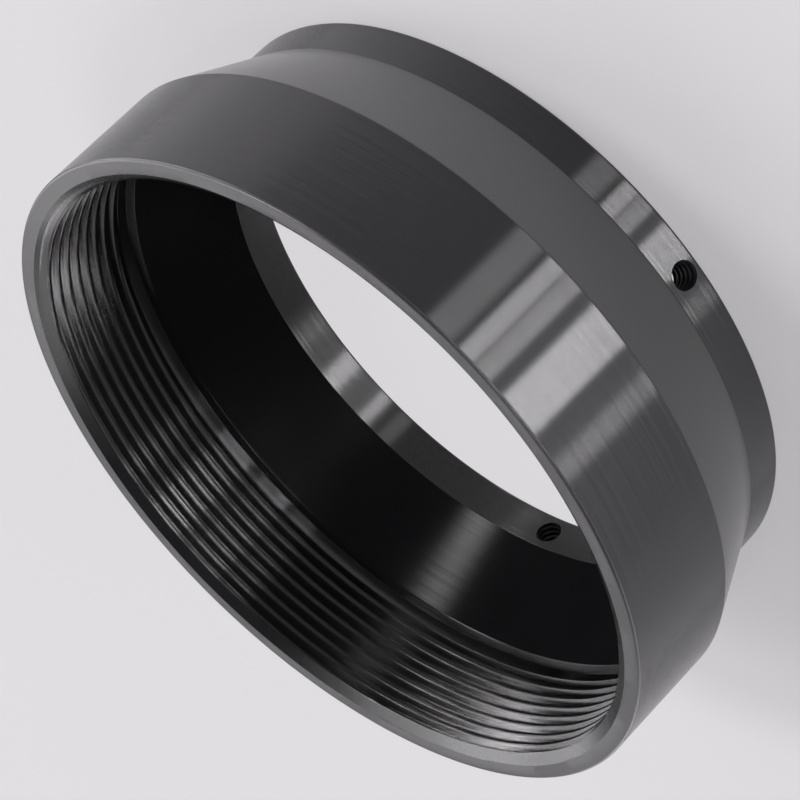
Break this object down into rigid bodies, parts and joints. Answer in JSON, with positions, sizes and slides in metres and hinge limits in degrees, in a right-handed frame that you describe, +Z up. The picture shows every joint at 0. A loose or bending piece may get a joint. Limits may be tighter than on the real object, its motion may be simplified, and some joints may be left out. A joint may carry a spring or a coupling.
{
  "type": "telescope focuser adapter",
  "caption": "Turned ring with a fine internal thread in its wide end, tapering to a plain socket with radial set-screw holes, that joins a focuser to a telescope's rear cell.",
  "frame": {"origin": "centre of the narrow end face, on which the ring stands", "axes": "+Z up the ring's axis to the threaded end, +X through the first set-screw hole"},
  "size_m": [0.0888, 0.0888, 0.0318],
  "materials": {
    "black_anodised": "black anodised, satin, with fine turning marks"
  },
  "bodies": {
    "root": {"adapter_ring": "black_anodised"}
  },
  "joints": []
}
